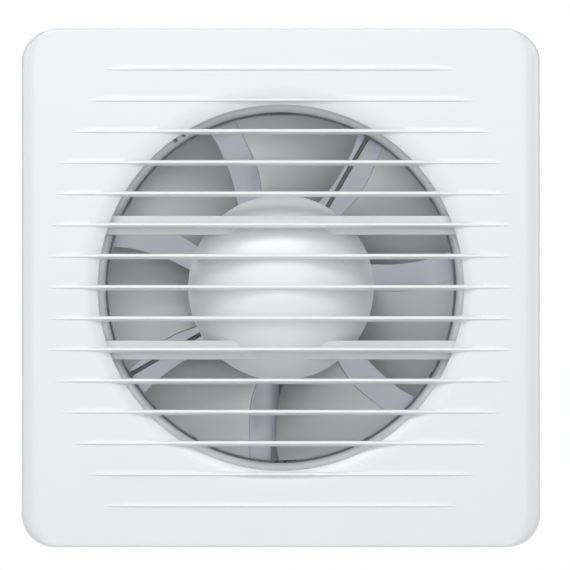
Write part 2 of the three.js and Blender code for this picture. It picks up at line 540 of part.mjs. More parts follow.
piece(
  "lead_neutral",
  lead([
    [-3, 43.8, -19.6], [-1.6, 46.4, -24], [-0.2, 46.9, -28], [0, 46.9, -34], [0, 46.9, -50], [-0.5, 46.3, -54.6], [-1.3, 43.2, -57],
    [-1.5, 37.6, -58], [-1.5, 34.6, -59], [-1.5, 32.4, -60.6], [-1.5, 29, -61.3], [-1.5, 12, -61.3], [-1.5, 2, -61.3], [-1.5, -0.2, -61.9], [-1.5, -1.2, -63.6],
    [-1.5, -1.2, -67.4], [-1.5, -2, -69.2], [-1.2, -3.3, -69.7], [0.6, -3.7, -69.9], [4, -3.7, -69.8], polar(69.6, -80, -3.5), polar(69.6, -65, -3.5), polar(69.6, -50, -3.5), polar(69.4, -38, -3.5),
    [59.3, -3.6, -35.6], [61.2, -3.8, -32.6], [65.4, -4.8, -31.8], [TERMINAL_X[0], -5.8, -35.6], [TERMINAL_X[0], -5.9, -40],
  ], 56),
  "blue",
);

// ---------------------------------------------------------------- back-draught shutter
piece("shutter_spindle", rodZ(SPINDLE_R, -56.8, 56.8, 0, HINGE_Y), "steel");
function leaf(s) {
  const group = new THREE.Group(), pts = [], n = 24;
  for (let i = 0; i <= n; i++) {
    const a = -Math.PI / 2 + (Math.PI * i) / n;
    const x = Math.max(0.3, LEAF_R * Math.cos(a));
    pts.push([s * x, LEAF_R * Math.sin(a)]);
  }
  if (s < 0) pts.reverse();
  let m = prismY(pts, LEAF_Y0, LEAF_Y1);
  // Knuckles on the spindle, staggered so that the two leaves share it.
  for (const [z0, z1] of s > 0 ? [[-52.6, -41], [28.8, 40.4]] : [[-40.4, -28.8], [41, 52.6]]) {
    m = m.add(rodZ(2.6, z0, z1, 0, HINGE_Y)).add(box(Math.min(s * 0.3, s * 2.6), Math.max(s * 0.3, s * 2.6), LEAF_Y1 - 0.4, HINGE_Y, z0, z1));
    m = m.subtract(rodZ(SPINDLE_R + 0.1, z0 - 1, z1 + 1, 0, HINGE_Y));
  }
  // Stiffening rib across the back, and one along the middle.
  m = m.add(box(Math.min(s * 8, s * 50), Math.max(s * 8, s * 50), LEAF_Y1 - 0.2, LEAF_Y1 + 1.6, -0.6, 0.6));
  m = m.add(box(Math.min(s * 8, s * 9.2), Math.max(s * 8, s * 9.2), LEAF_Y1 - 0.2, LEAF_Y1 + 1.6, -48, 48));
  const side = s > 0 ? "right" : "left";
  piece("shutter_leaf_" + side, m, "grey", group);
  // Closing spring: turns round the spindle with one arm along the leaf.
  const [z0, z1] = s > 0 ? [3, 9] : [-9, -3];
  piece(
    "shutter_spring_" + side,
    cut(
      join(rodZ(2.5, z0, z1, 0, HINGE_Y), box(Math.min(s * 1, s * 6.8), Math.max(s * 1, s * 6.8), HINGE_Y - 2.5, HINGE_Y - 1.9, s > 0 ? z0 : z1 - 0.6, s > 0 ? z0 + 0.6 : z1)),
      rodZ(SPINDLE_R + 0.15, z0 - 1, z1 + 1, 0, HINGE_Y),
    ),
    "steel",
    group,
  );
  parts.add(group);
}
leaf(-1);
leaf(1);

export default parts;
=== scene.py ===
import bpy, bmesh, math
from mathutils import Vector, Matrix


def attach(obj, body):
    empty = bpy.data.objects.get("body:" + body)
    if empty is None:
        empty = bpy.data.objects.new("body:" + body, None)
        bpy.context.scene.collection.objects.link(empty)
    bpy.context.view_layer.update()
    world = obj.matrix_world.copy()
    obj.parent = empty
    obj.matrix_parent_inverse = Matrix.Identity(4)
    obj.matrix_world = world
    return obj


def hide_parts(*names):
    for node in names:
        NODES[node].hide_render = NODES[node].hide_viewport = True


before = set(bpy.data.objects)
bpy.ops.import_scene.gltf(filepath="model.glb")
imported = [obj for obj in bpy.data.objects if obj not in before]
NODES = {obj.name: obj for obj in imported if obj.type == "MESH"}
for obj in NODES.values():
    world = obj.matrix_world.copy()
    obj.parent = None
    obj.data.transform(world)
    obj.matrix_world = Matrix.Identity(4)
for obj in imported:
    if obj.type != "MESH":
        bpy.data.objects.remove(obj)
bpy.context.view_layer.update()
SCENE = bpy.context.scene
MM = 0.001

# ------------------------------------------------------------------ dimensions (mm), as in the CAD model
FACE_Y = -16.0
THROAT_R = 62.1
SLAT_PITCH, SLAT_T = 10.58, 1.9
SLAT_HALF = [79.7, 79.35, 78.5, 77.1, 74.9, 71.4, 66.1, 59.5]
SLAT_CREST, PANEL_CREST, SLAT_REAR_Y, RUN_UP = 2.98, 0.55, -12.5, 2.5
BAR_Z, BAR_H, BAR_Y0, BAR_Y1 = 2 * SLAT_PITCH, 6.5, -10.0, -7.0
DOME_R, DOME_SPHERE, DOME_APEX_Y, DOME_SKIN, DOME_END_Y = 31.5, 45.0, -17.0, 1.8, -2.0
BORE_R, SPIGOT_R, SPIGOT_END_Y = 59.6, 62.0, 95.0
CASING_FRONT_Y, CASING_RIM_R = -4.7, 66.0
HUB_R, HUB_Y0, HUB_Y1, HUB_SKIN = 29.5, 1.0, 18.0, 1.6
BLADE_STATIONS = [
    (28.6, 153.8, 119.2, 3.2, 17.2),
    (39.5, 152.4, 114.6, 3.0, 18.2),
    (52.5, 155.4, 113.9, 3.6, 17.6),
    (58.7, 157.0, 115.0, 4.2, 17.0),
]
CUP_R, CUP_SKIN, CUP_Y0, CUP_Y1, CUP_FLOOR = 31.2, 1.3, 23.0, 54.5, 2.0
RIB_T, RIB_Y0, RIB_Y1 = 1.5, 27.0, 43.0
HINGE_Y, LEAF_R, LEAF_Y0, LEAF_Y1, SPINDLE_R = 86.0, 59.4, 81.6, 82.8, 1.5
SEAT_R, SEAT_Y0, SEAT_Y1 = 59.3, 79.8, 81.3
GROOVE_W, GROOVE_FLOOR, GROOVE_END_Y = 6.4, 60.4, 36.0


# ------------------------------------------------------------------ mesh helpers
def new_object(name, verts, faces):
    me = bpy.data.meshes.new(name)
    me.from_pydata([(x * MM, y * MM, z * MM) for x, y, z in verts], [], faces)
    bm = bmesh.new()
    bm.from_mesh(me)
    bmesh.ops.remove_doubles(bm, verts=bm.verts, dist=1e-7)
    bmesh.ops.recalc_face_normals(bm, faces=bm.faces)
    if bm.calc_volume(signed=True) < 0:
        bmesh.ops.reverse_faces(bm, faces=bm.faces)
    bm.to_mesh(me)
    bm.free()
    ob = bpy.data.objects.new(name, me)
    SCENE.collection.objects.link(ob)
    return ob


def lathe(profile, n=180, x=0.0, z=0.0, name="lathe"):
    """A profile of (radius, y) turned round the Y axis. It starts and ends on the axis, or closes on itself."""
    open_ended = profile[0][0] < 1e-9 and profile[-1][0] < 1e-9
    verts, rows = [], []
    for r, y in profile:
        if r < 1e-9:
            rows.append([len(verts)] * n)
            verts.append((x, y, z))
        else:
            rows.append(list(range(len(verts), len(verts) + n)))
            for i in range(n):
                a = 2 * math.pi * i / n
                verts.append((x + r * math.cos(a), y, z + r * math.sin(a)))
    faces, m = [], len(profile)
    for k in range(m - 1 if open_ended else m):
        a, b = rows[k], rows[(k + 1) % m]
        for i in range(n):
            j = (i + 1) % n
            f = []
            for v in (a[i], a[j], b[j], b[i]):
                if v not in f:
                    f.append(v)
            if len(f) > 2:
                faces.append(f)
    return new_object(name, verts, faces)


def rod(r, y0, y1, x=0.0, z=0.0, n=48):
    return lathe([(0, y0), (r, y0), (r, y1), (0, y1)], n, x, z)


def swap(points, w, axis):
    """2-D points at depth w along an axis: 'Y' takes (x, z), 'Z' takes (x, y), 'X' takes (y, z)."""
    if axis == "Y":
        return [(u, w, v) for u, v in points]
    if axis == "Z":
        return [(u, v, w) for u, v in points]
    return [(w, u, v) for u, v in points]


def prism(points, w0, w1, axis="Y", name="prism"):
    n = len(points)
    verts = swap(points, w0, axis) + swap(points, w1, axis)
    faces = [list(range(n)), list(range(2 * n - 1, n - 1, -1))]
    faces += [[i, (i + 1) % n, n + (i + 1) % n, n + i] for i in range(n)]
    return new_object(name, verts, faces)


def block(x0, x1, y0, y1, z0, z1):
    return prism([(x0, z0), (x1, z0), (x1, z1), (x0, z1)], y0, y1)


def rounded_rect(hx, hz, rx, rz, n=14, cx=0.0, cz=0.0):
    out = []
    for sx, sz, a0 in ((1, 1, 0), (-1, 1, 90), (-1, -1, 180), (1, -1, 270)):
        for i in range(n + 1):
            a = math.radians(a0 + 90 * i / n)
            out.append((cx + sx * (hx - rx) + rx * math.cos(a), cz + sz * (hz - rz) + rz * math.sin(a)))
    return out


def stacked(layers):
    """A solid through outlines of (x, z) points at successive depths y."""
    n, verts, faces = len(layers[0][1]), [], []
    for y, pts in layers:
        verts += [(x, y, z) for x, z in pts]
    for k in range(len(layers) - 1):
        for i in range(n):
            a, b = k * n + i, k * n + (i + 1) % n
            faces.append([a, b, b + n, a + n])
    faces.append(list(range(n)))
    m = (len(layers) - 1) * n
    faces.append(list(range(m + n - 1, m - 1, -1)))
    return new_object("stack", verts, faces)


def swept(sections):
    """A closed solid through sections, each a list of 3-D points, with flat ends."""
    n, verts, faces = len(sections[0]), [], []
    for s in sections:
        verts += s
    for k in range(len(sections) - 1):
        for i in range(n):
            a, b = k * n + i, k * n + (i + 1) % n
            faces.append([a, b, b + n, a + n])
    faces.append(list(range(n)))
    m = (len(sections) - 1) * n
    faces.append(list(range(m + n - 1, m - 1, -1)))
    return new_object("swept", verts, faces)


def drop(ob):
    me = ob.data
    bpy.data.objects.remove(ob)
    bpy.data.meshes.remove(me)


def boolean(a, op, *others):
    for b in others:
        m = a.modifiers.new("bool", "BOOLEAN")
        m.operation = op
        m.solver = "MANIFOLD"
        m.object = b
        bpy.context.view_layer.update()
        dg = bpy.context.evaluated_depsgraph_get()
        me = bpy.data.meshes.new_from_object(a.evaluated_get(dg))
        a.modifiers.clear()
        old, a.data = a.data, me
        bpy.data.meshes.remove(old)
        drop(b)
    return a


def join(a, *others):
    return boolean(a, "UNION", *others)


def cut(a, *others):
    return boolean(a, "DIFFERENCE", *others)


def tidy(ob, angle=32, bevel=0.0, segments=2):
    """Merges stray vertices, marks sharp edges by angle and keeps flat faces flat under smooth shading."""
    me = ob.data
    bm = bmesh.new()
    bm.from_mesh(me)
    bmesh.ops.remove_doubles(bm, verts=bm.verts, dist=2e-6)
    bmesh.ops.dissolve_degenerate(bm, edges=bm.edges, dist=1e-6)
    bmesh.ops.dissolve_limit(bm, angle_limit=math.radians(0.03), verts=bm.verts, edges=bm.edges, delimit=set())
    for f in bm.faces:
        f.smooth = True
    for e in bm.edges:
        e.smooth = not (len(e.link_faces) != 2 or e.calc_face_angle(0) > math.radians(angle))
    bm.to_mesh(me)
    bm.free()
    if bevel:
        m = ob.modifiers.new("edge_radius", "BEVEL")
        m.width = bevel * MM
        m.segments = segments
        m.limit_method = "ANGLE"
        m.angle_limit = math.radians(angle)
        m.harden_normals = False
        m.use_clamp_overlap = True
    w = ob.modifiers.new("weighted_normals", "WEIGHTED_NORMAL")
    w.keep_sharp = True
    w.weight = 60
    return ob


def named(ob, name):
    ob.name = name
    ob.data.name = name
    return ob


# ------------------------------------------------------------------ materials
def material(name, color, rough=0.35, metal=0.0, spec=0.5, coat=0.0, coat_rough=0.1,
             tint=0.03, grain=900.0, bump=0.02, bump_dist=0.00005, rough_var=0.06, edge=0.0, sheen=0.0):
    """Moulded or metal surface: soft colour variation, fine grain in the bump, uneven gloss, lighter worn edges."""
    m = bpy.data.materials.new(name)
    m.use_nodes = True
    nt = m.node_tree
    nt.nodes.clear()
    N, L = nt.nodes.new, nt.links.new
    out = N("ShaderNodeOutputMaterial")
    b = N("ShaderNodeBsdfPrincipled")
    L(b.outputs["BSDF"], out.inputs["Surface"])
    b.inputs["Metallic"].default_value = metal
    b.inputs["Specular IOR Level"].default_value = spec
    b.inputs["Coat Weight"].default_value = coat
    b.inputs["Coat Roughness"].default_value = coat_rough
    tc = N("ShaderNodeTexCoord")
    big = N("ShaderNodeTexNoise")
    big.inputs["Scale"].default_value = 24.0
    big.inputs["Detail"].default_value = 4.0
    L(tc.outputs["Object"], big.inputs["Vector"])
    ramp = N("ShaderNodeValToRGB")
    lo = [max(0.0, c * (1 - tint)) for c in color]
    hi = [min(1.0, c * (1 + tint)) for c in color]
    ramp.color_ramp.interpolation = "EASE"
    ramp.color_ramp.elements[0].position = 0.2
    ramp.color_ramp.elements[1].position = 0.8
    ramp.color_ramp.elements[0].color = (*lo, 1)
    ramp.color_ramp.elements[1].color = (*hi, 1)
    L(big.outputs["Fac"], ramp.inputs["Fac"])
    colour = ramp.outputs["Color"]
    fine = N("ShaderNodeTexNoise")
    fine.inputs["Scale"].default_value = grain
    fine.inputs["Detail"].default_value = 3.0
    L(tc.outputs["Object"], fine.inputs["Vector"])
    bp = N("ShaderNodeBump")
    bp.inputs["Strength"].default_value = bump
    bp.inputs["Distance"].default_value = bump_dist
    L(fine.outputs["Fac"], bp.inputs["Height"])
    L(bp.outputs["Normal"], b.inputs["Normal"])
    if edge:
        geo = N("ShaderNodeNewGeometry")
        bev = N("ShaderNodeBevel")
        bev.samples = 4
        bev.inputs["Radius"].default_value = 0.0005
        dot = N("ShaderNodeVectorMath")
        dot.operation = "DOT_PRODUCT"
        L(bev.outputs["Normal"], dot.inputs[0])
        L(geo.outputs["Normal"], dot.inputs[1])
        mr = N("ShaderNodeMapRange")
        mr.inputs["From Min"].default_value = 0.80
        mr.inputs["From Max"].default_value = 0.99
        mr.inputs["To Min"].default_value = edge
        mr.inputs["To Max"].default_value = 0.0
        L(dot.outputs["Value"], mr.inputs["Value"])
        mix = N("ShaderNodeMix")
        mix.data_type = "RGBA"
        mix.inputs["B"].default_value = (*[min(1.0, c * 1.12 + 0.03) for c in color], 1)
        L(mr.outputs["Result"], mix.inputs["Factor"])
        L(colour, mix.inputs["A"])
        colour = mix.outputs["Result"]
    L(colour, b.inputs["Base Color"])
    rr = N("ShaderNodeMapRange")
    rr.interpolation_type = "SMOOTHSTEP"
    rr.inputs["From Min"].default_value = 0.15
    rr.inputs["From Max"].default_value = 0.85
    rr.inputs["To Min"].default_value = max(0.02, rough - rough_var)
    rr.inputs["To Max"].default_value = rough + rough_var
    L(big.outputs["Fac"], rr.inputs["Value"])
    L(rr.outputs["Result"], b.inputs["Roughness"])
    if sheen:
        b.inputs["Sheen Weight"].default_value = sheen
    return m


def brushed(name, color, rough=0.3, scale=(30, 1400, 30), metal=1.0):
    """Metal with fine lines along one direction."""
    m = material(name, color, rough=rough, metal=metal, tint=0.05, bump=0.06, rough_var=0.08)
    nt = m.node_tree
    mp = nt.nodes.new("ShaderNodeMapping")
    mp.inputs["Scale"].default_value = scale
    fine = [n for n in nt.nodes if n.type == "TEX_NOISE" and n.inputs["Scale"].default_value > 100][0]
    tc = [n for n in nt.nodes if n.type == "TEX_COORD"][0]
    fine.inputs["Scale"].default_value = 1.0
    nt.links.new(tc.outputs["Object"], mp.inputs["Vector"])
    nt.links.new(mp.outputs["Vector"], fine.inputs["Vector"])
    return m


WHITE = material("white_abs_gloss", (0.740, 0.769, 0.786), rough=0.32, rough_var=0.03, coat=0.5, coat_rough=0.14, tint=0.006, bump=0.015, edge=0.25)
CASING = material("casing_satin", (0.80, 0.825, 0.84), rough=0.38, tint=0.012, bump=0.03, edge=0.25)
# Painted shade: the bore wall's darker colour stands in for the shade inside the bore; the low gloss is its real matt
# finish.
BORE_MATT_PAINTED_SHADE = material("bore_matt_painted_shade", (0.46, 0.475, 0.48), rough=0.6, rough_var=0.04, spec=0.2, tint=0.02, bump=0.05)
CARRIER = material("carrier_satin", (0.54, 0.565, 0.565), rough=0.42, tint=0.02, bump=0.04, edge=0.2)
BLADE = material("impeller_satin", (0.57, 0.595, 0.595), rough=0.36, tint=0.015, bump=0.03, edge=0.25)
NYLON = material("natural_nylon", (0.78, 0.76, 0.68), rough=0.45, tint=0.03, bump=0.06, edge=0.2)
RUBBER = material("black_rubber", (0.028, 0.029, 0.031), rough=0.72, tint=0.12, bump=0.15, grain=500, sheen=0.1)
STEEL = brushed("ground_steel", (0.60, 0.61, 0.63), 0.34)
PLATED = brushed("zinc_plated_steel", (0.66, 0.66, 0.61), 0.36, (300, 300, 300))
ROTOR = brushed("rotor_steel", (0.34, 0.35, 0.37), 0.38, (20, 2200, 20))
LAMINATION = brushed("varnished_laminations", (0.16, 0.17, 0.19), 0.42, (3, 2100, 3), metal=0.7)
ZINC = material("die_cast_zinc", (0.60, 0.61, 0.62), rough=0.42, metal=1.0, tint=0.04, bump=0.12, grain=350, edge=0.3)
BRONZE = material("sintered_bronze", (0.44, 0.27, 0.12), rough=0.5, metal=1.0, tint=0.1, bump=0.25, grain=1600)
COPPER = brushed("drawn_copper", (0.62, 0.27, 0.13), 0.36, (500, 30, 500))
ENAMEL = material("enamelled_wire", (0.42, 0.14, 0.045), rough=0.31, rough_var=0.02, metal=0.55, tint=0.08, bump=0.05, coat=0.6)
BROWN = material("brown_insulation", (0.15, 0.065, 0.03), rough=0.42, tint=0.06, bump=0.05)
BLUE = material("blue_insulation", (0.045, 0.13, 0.38), rough=0.42, tint=0.06, bump=0.05)


def leaf_material():
    """Thin moulded flap that lets some light through from behind."""
    m = material("shutter_translucent", (0.50, 0.525, 0.56), rough=0.5, tint=0.004, bump=0.02)
    nt = m.node_tree
    b = [n for n in nt.nodes if n.type == "BSDF_PRINCIPLED"][0]
    out = [n for n in nt.nodes if n.type == "OUTPUT_MATERIAL"][0]
    tr = nt.nodes.new("ShaderNodeBsdfTranslucent")
    tr.inputs["Color"].default_value = (0.86, 0.89, 0.93, 1)
    mix = nt.nodes.new("ShaderNodeMixShader")
    # Painted light: from 42 mm out to the rim the flap lets a little more light through than the middle, which
    # brightens the rim against the spigot's shade.
    tc = [n for n in nt.nodes if n.type == "TEX_COORD"][0]
    flat = nt.nodes.new("ShaderNodeVectorMath")
    flat.operation = "MULTIPLY"
    flat.inputs[1].default_value = (1, 0, 1)
    length = nt.nodes.new("ShaderNodeVectorMath")
    length.operation = "LENGTH"
    rim_painted_light = nt.nodes.new("ShaderNodeMapRange")
    rim_painted_light.interpolation_type = "SMOOTHSTEP"
    for socket, value in (("From Min", 0.042), ("From Max", 0.0580), ("To Min", 0.62), ("To Max", 0.66)):
        rim_painted_light.inputs[socket].default_value = value
    nt.links.new(tc.outputs["Object"], flat.inputs[0])
    nt.links.new(flat.outputs["Vector"], length.inputs[0])
    nt.links.new(length.outputs["Value"], rim_painted_light.inputs["Value"])
    nt.links.new(rim_painted_light.outputs["Result"], mix.inputs[0])
    nt.links.new(b.outputs["BSDF"], mix.inputs[1])
    nt.links.new(tr.outputs["BSDF"], mix.inputs[2])
    nt.links.new(mix.outputs["Shader"], out.inputs["Surface"])
    return m


LEAF = leaf_material()


def paint(ob, mat):
    ob.data.materials.clear()
    ob.data.materials.append(mat)
    return ob


# ------------------------------------------------------------------ front grille
def cushion(half, corner, face_y, roll_w, roll_d, edge, end_y, n):
    def inset(y, w, d):
        t = min(1.0, (y - face_y) / d)
        return 0.0 if t >= 1 else w * (1 - math.sqrt(max(0.0, 1 - (1 - t) ** 2)))

    ys = {face_y + roll_d * (1 - math.cos(math.radians(a))) for a in range(0, 91, 6)}
    ys |= {face_y + edge * (1 - math.cos(math.radians(a))) for a in range(0, 91, 15)}
    layers = []
    for y in sorted(round(v, 4) for v in ys | {end_y}):
        ix, iz = inset(y, roll_w, roll_d), inset(y, edge, edge)
        layers.append((y, rounded_rect(half - ix, half - iz, max(2.0, corner - ix), max(2.0, corner - iz), n)))
    return stacked(layers)


def pillow(x, z, half):
    """How far a crest stands in front of the face: 3 mm in the middle of the opening, about half a millimetre over the panel."""
    r, e = math.hypot(x, z) / 66, min(1.0, max(0.0, (half - abs(x)) / 9))
    return PANEL_CREST * math.sqrt(e) + (SLAT_CREST - PANEL_CREST) * max(0.0, 1 - r * r)


def smooth(t):
    t = min(1.0, max(0.0, t))
    return t * t * (3 - 2 * t)


def slat_stations(half, opening, n=84):
    xs = [-half * math.cos(math.pi * i / n) for i in range(n + 1)]
    if opening:
        xs = [x for x in xs if abs(abs(x) - opening) > 0.02] + [s * opening + d for s in (-1, 1) for d in (-0.01, 0.01)]
    return sorted(xs)


def slat_taper(x, half):
    """Full section along the slat, drawn in to a slim rounded tip over the last 8 mm."""
    e = min(1.0, max(0.0, (half - abs(x)) / 8.0))
    return max(0.03, math.sqrt(1 - (1 - e) ** 2) ** 1.2)


def rise(u, w, h):
    """Height of the face's concave run-up at u above a slat's middle line, h at the crest."""
    return h * min(1.0, max(0.0, (RUN_UP * w - u) / ((RUN_UP - 0.12) * w))) ** 2.2


# The slat's upper side over the opening: distance above its middle line, and distance behind its crest.
SLAT_TOP = [(0.95, 1.2), (0.94, 0.8), (0.91, 0.55), (0.86, 0.41), (0.78, 0.32), (0.60, 0.23), (0.40, 0.145), (0.22, 0.075), (0.12, 0.035)]


def slat(k):
    """One slat: a rounded crest over the opening, and over the panel a sharp step below the run-up."""
    z0, half = k * SLAT_PITCH, SLAT_HALF[abs(k)]
    opening = math.sqrt(63.6 ** 2 - z0 * z0) if abs(z0) < 63.5 else 0.0
    inner_rear = BAR_Y0 + 0.2 if abs(k) == 2 else SLAT_REAR_Y
    sections = []
    for x in slat_stations(half, opening):
        w, r = slat_taper(x, half), math.hypot(x, z0)
        if abs(x) < opening:
            yr = inner_rear
        elif r < 66.4:
            yr = -12.5 - 1.7 * (r - 63.6) / 2.8
        else:
            yr = max(-14.6, -14.2 - 0.4 * (r - 66.4) / 2.2)
        h = pillow(x, z0, half) * (0.35 + 0.65 * w) + 0.02
        yc, b = FACE_Y - h, 1 - smooth((r - 62) / 6.6)
        over_open, over_panel = [(yr, 0.95)], [(yr, 0.95)]
        for i, (u, drop_back) in enumerate(SLAT_TOP):
            over_open.append((yc + drop_back, u))
            u = 0.95 - 0.83 * i / 8
            over_panel.append((FACE_Y - rise(u * w, w, h), u))
        over_open += [(yc, 0.08), (yc + 0.05, -0.03), (yc + 0.16, -0.12), (yc + 2.2, -0.86), (yc + 2.7, -0.95), (yr, -0.95)]
        over_panel += [(yc - 0.02, 0.03), (yc, -0.05), (yc + 0.08 * h, -0.11), (FACE_Y - 0.12 * h, -0.46), (FACE_Y + 0.02, -0.52), (yr, -0.52)]
        sections.append([(x, yo * b + yp * (1 - b), z0 + (uo * b + up * (1 - b)) * w) for (yo, uo), (yp, up) in zip(over_open, over_panel)])
    return swept(sections)


def fillet(k):
    """The face sweeps up to each slat from above in a shallow concave curve."""
    z0, half = k * SLAT_PITCH, SLAT_HALF[abs(k)]
    sections = []
    for x in slat_stations(half, 0.0):
        w = slat_taper(x, half)
        h = pillow(x, z0, half) * (0.35 + 0.65 * w) + 0.02
        ua, ub = RUN_UP * w, 0.93 * w
        sec = [(x, FACE_Y + 0.5, z0 + ub), (x, FACE_Y + 0.5, z0 + ua)]
        for i in range(11):
            u = ua + (ub - ua) * i / 10
            sec.append((x, FACE_Y + 0.012 - rise(u, w, h), z0 + u))
        sections.append(sec)
    return swept(sections)


def cap(sphere, r, apex, n):
    return [(r * i / n, apex + sphere - math.sqrt(sphere ** 2 - (r * i / n) ** 2)) for i in range(n + 1)]


def make_grille():
    g = cushion(88, 11.2, FACE_Y, 6.3, 5.0, 1.0, 0.0, 16)
    g = cut(g, cushion(86, 9.2, FACE_Y + 2.2, 5.5, 3.8, 0.6, 1.0, 12))
    for k in range(-7, 8):
        g = join(g, fillet(k))
    g = join(g, lathe([(61, -5), (THROAT_R + 2.2, -5), (THROAT_R + 2.2, -11.5), (66.4, -13.2), (70, -14), (70, -15), (61, -15)], 240))
    mouth = [(0, FACE_Y - 2), (68.7, FACE_Y - 2), (68.7, FACE_Y)]
    # A round bell-mouth that turns in to 32 degrees, and a small rounded edge into the collar.
    slope, small = math.radians(32), 0.3
    foot = THROAT_R + small * (1 - math.sin(slope))
    bell = (68.7 - foot) / math.sin(slope)
    for i in range(1, 15):
        a = slope * i / 14
        mouth.append((68.7 - bell * math.sin(a), FACE_Y + bell * (1 - math.cos(a))))
    for i in range(1, 7):
        a = slope + (math.pi / 2 - slope) * i / 6
        mouth.append((THROAT_R + small * (1 - math.sin(a)), FACE_Y + bell * (1 - math.cos(slope)) + small * (math.cos(slope) - math.cos(a))))
    mouth += [(THROAT_R, -5.5), (THROAT_R + 0.25, -4.5), (THROAT_R + 0.25, 3), (0, 3)]
    g = cut(g, lathe(mouth, 240))
    for k in range(-7, 8):
        g = join(g, slat(k))
    for s in (-1, 1):
        zc = s * BAR_Z
        pts = [(y + 0.12 * (zc + BAR_H / 2 - z) * (y < (BAR_Y0 + BAR_Y1) / 2), z) for y, z in rounded_rect((BAR_Y1 - BAR_Y0) / 2, BAR_H / 2, 0.5, 0.5, 5, (BAR_Y0 + BAR_Y1) / 2, zc)]
        bar = prism(pts, -64, 64, "X")
        g = join(g, boolean(bar, "INTERSECT", rod(THROAT_R + 1.1, -14, -4, n=180)))
    dome = cap(DOME_SPHERE, DOME_R, DOME_APEX_Y, 28)
    g = join(g, lathe(dome + [(DOME_R, DOME_END_Y), (0, DOME_END_Y)], 160))
    for k in range(-2, 3):
        z = k * SLAT_PITCH
        w = math.sqrt(30.4 ** 2 - z * z)
        g = join(g, block(-w, w, SLAT_REAR_Y - 1, -3.6, z - 0.7, z + 0.7))
    inner = cap(DOME_SPHERE - DOME_SKIN, DOME_R - DOME_SKIN, DOME_APEX_Y + DOME_SKIN, 20)
    g = cut(g, lathe(inner + [(DOME_R - DOME_SKIN, 0), (0, 0)], 120))
    for sx in (-1, 1):
        for sz in (-1, 1):
            x, z = sx * 76, sz * 22
            g = join(g, block(x - 0.9, x + 0.9, FACE_Y + 1.7, -0.6, z - 4, z + 4),
                     prism([(x, -0.6), (x, -2.1), (x + sx * 1.9, -2.1), (x + sx * 0.9, -0.6)], z - 4, z + 4, "Z"))
    g = tidy(named(g, "grille"), 34)
    return paint(g, WHITE)


grille = make_grille()
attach(grille, "housing")
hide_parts("front_grille")


# ------------------------------------------------------------------ casing
def make_casing():
    plate = [(y, rounded_rect(84 - i, 84 - i, 9 - i, 9 - i, 14)) for y, i in ((-2.5, 0.4), (-2.38, 0.12), (-2.1, 0.0), (-0.3, 0.0), (0.0, 0.2))]
    c = stacked(plate)
    c = join(c, lathe([(0, CASING_FRONT_Y), (CASING_RIM_R - 0.4, CASING_FRONT_Y), (CASING_RIM_R, CASING_FRONT_Y + 0.4), (CASING_RIM_R, 0), (SPIGOT_R, 0),
                       (SPIGOT_R, SPIGOT_END_Y - 1.2), (SPIGOT_R - 0.35, SPIGOT_END_Y - 0.3), (SPIGOT_R - 0.9, SPIGOT_END_Y), (0, SPIGOT_END_Y)], 216))
    edge = [(61.0 - 1.4 * math.sin(math.radians(a)), 0.8 - 5.5 * math.cos(math.radians(a))) for a in range(0, 91, 9)]
    c = cut(c, lathe([(0, -6), (61.1, -6)] + edge + [(BORE_R, SEAT_Y0 - 0.3), (SEAT_R + 0.08, SEAT_Y0), (SEAT_R, SEAT_Y0 + 0.1), (SEAT_R, SEAT_Y1), (BORE_R, SEAT_Y1), (BORE_R, SPIGOT_END_Y - 0.6), (BORE_R + 0.6, 97), (0, 97)], 216))
    for s in (-1, 1):
        for x in (-42, 42):
            c = cut(c, rod(2.25, -4, 1, x, s * 76), lathe([(0, -3), (4.6, -3), (4.6, -2.4), (2.3, -1.2), (0, -1.2)], 48, x, s * 76))
        for z in (-22, 22):
            c = cut(c, block(s * 76.3 - 2.4, s * 76.3 + 2.4, -4, 1, z - 4.8, z + 4.8))
    w = GROOVE_W / 2
    c = cut(c, block(-w, w, -0.5, GROOVE_END_Y, -63, -GROOVE_FLOOR), block(-2.6, 2.6, 30, GROOVE_END_Y, -63, -58),
            block(-w, w, -2.2, 1, -70.5, -GROOVE_FLOOR), block(-w, w, -4, 1, -70.5, -66.8), rod(7.2, -4, 1, 71, -70, 64))
    for deg in (122.6, 125.6):
        a = math.radians(deg)
        b = block(-0.6, 0.6, -5.1, -2.1, -0.6, 0.6)
        b.matrix_world = Matrix.Translation(Vector((61.4 * math.cos(a), 0, 61.4 * math.sin(a))) * MM) @ Matrix.Rotation(-a, 4, "Y")
        bpy.context.view_layer.update()
        c = cut(c, b)
    for s in (-1, 1):
        z0, z1 = sorted((s * 53.5, s * 60))
        h0, h1 = sorted((s * 53, s * 57.2))
        c = join(c, cyl_z(2.9, z0, z1, 0, HINGE_Y))
        c = cut(c, cyl_z(SPINDLE_R + 0.15, h0, h1, 0, HINGE_Y))
    for x in (65.1, 77):
        c = join(c, rod(2.6, -5, -1, x, -58))
        c = cut(c, rod(1.35, -6, -0.8, x, -58))
    c = paint(tidy(named(c, "casing"), 30), CASING)
    # The wall of the bore, from the rounded edge to the seat, has a matt finish and a darker colour that is painted
    # shade, standing in for the shade deep in the bore.
    c.data.materials.append(BORE_MATT_PAINTED_SHADE)
    for f in c.data.polygons:
        m = f.center
        if math.hypot(m.x, m.z) < (BORE_R + 0.03) * MM and 0 < m.y < SEAT_Y0 * MM and abs(f.normal.y) < 0.05:
            f.material_index = 1
    return c


def cyl_z(r, z0, z1, x, y, n=40):
    pts = [(x + r * math.cos(2 * math.pi * i / n), y + r * math.sin(2 * math.pi * i / n)) for i in range(n)]
    return prism(pts, z0, z1, "Z")


casing = make_casing()
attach(casing, "housing")
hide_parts("duct_casing")


